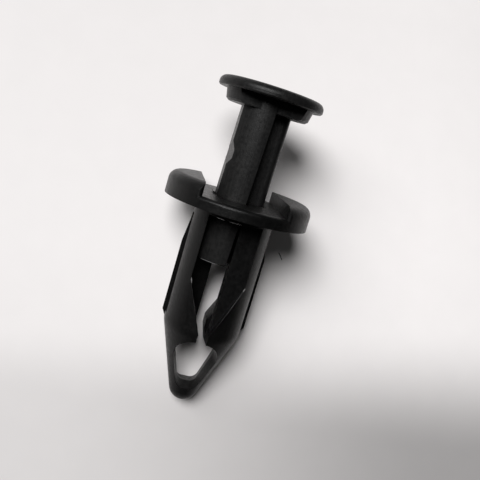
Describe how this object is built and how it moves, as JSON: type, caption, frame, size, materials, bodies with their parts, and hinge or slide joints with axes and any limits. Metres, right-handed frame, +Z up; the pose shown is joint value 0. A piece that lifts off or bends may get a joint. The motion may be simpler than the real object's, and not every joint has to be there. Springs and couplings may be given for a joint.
{
  "type": "plastic push rivet",
  "caption": "Black moulded push rivet with a raised pin, an eared flange and a split, pointed shank, lying on its side.",
  "frame": {"origin": "middle of the bounding box's underside, on the surface the rivet lies on", "axes": "+Z up from the surface, +Y towards the pin's head, +X across the rivet"},
  "size_m": [0.018, 0.0408, 0.0188],
  "materials": {
    "black_plastic": "satin moulded black"
  },
  "bodies": {
    "grommet": {"grommet_body": "black_plastic"},
    "pin": {"push_pin": "black_plastic"}
  },
  "joints": [
    {"name": "pin_push", "type": "slide", "parent": "grommet", "child": "pin", "axis": [-0.0156, -0.9643, -0.2644], "range_m": [0, 0.0094], "deforming": ["grommet_body"]}
  ]
}
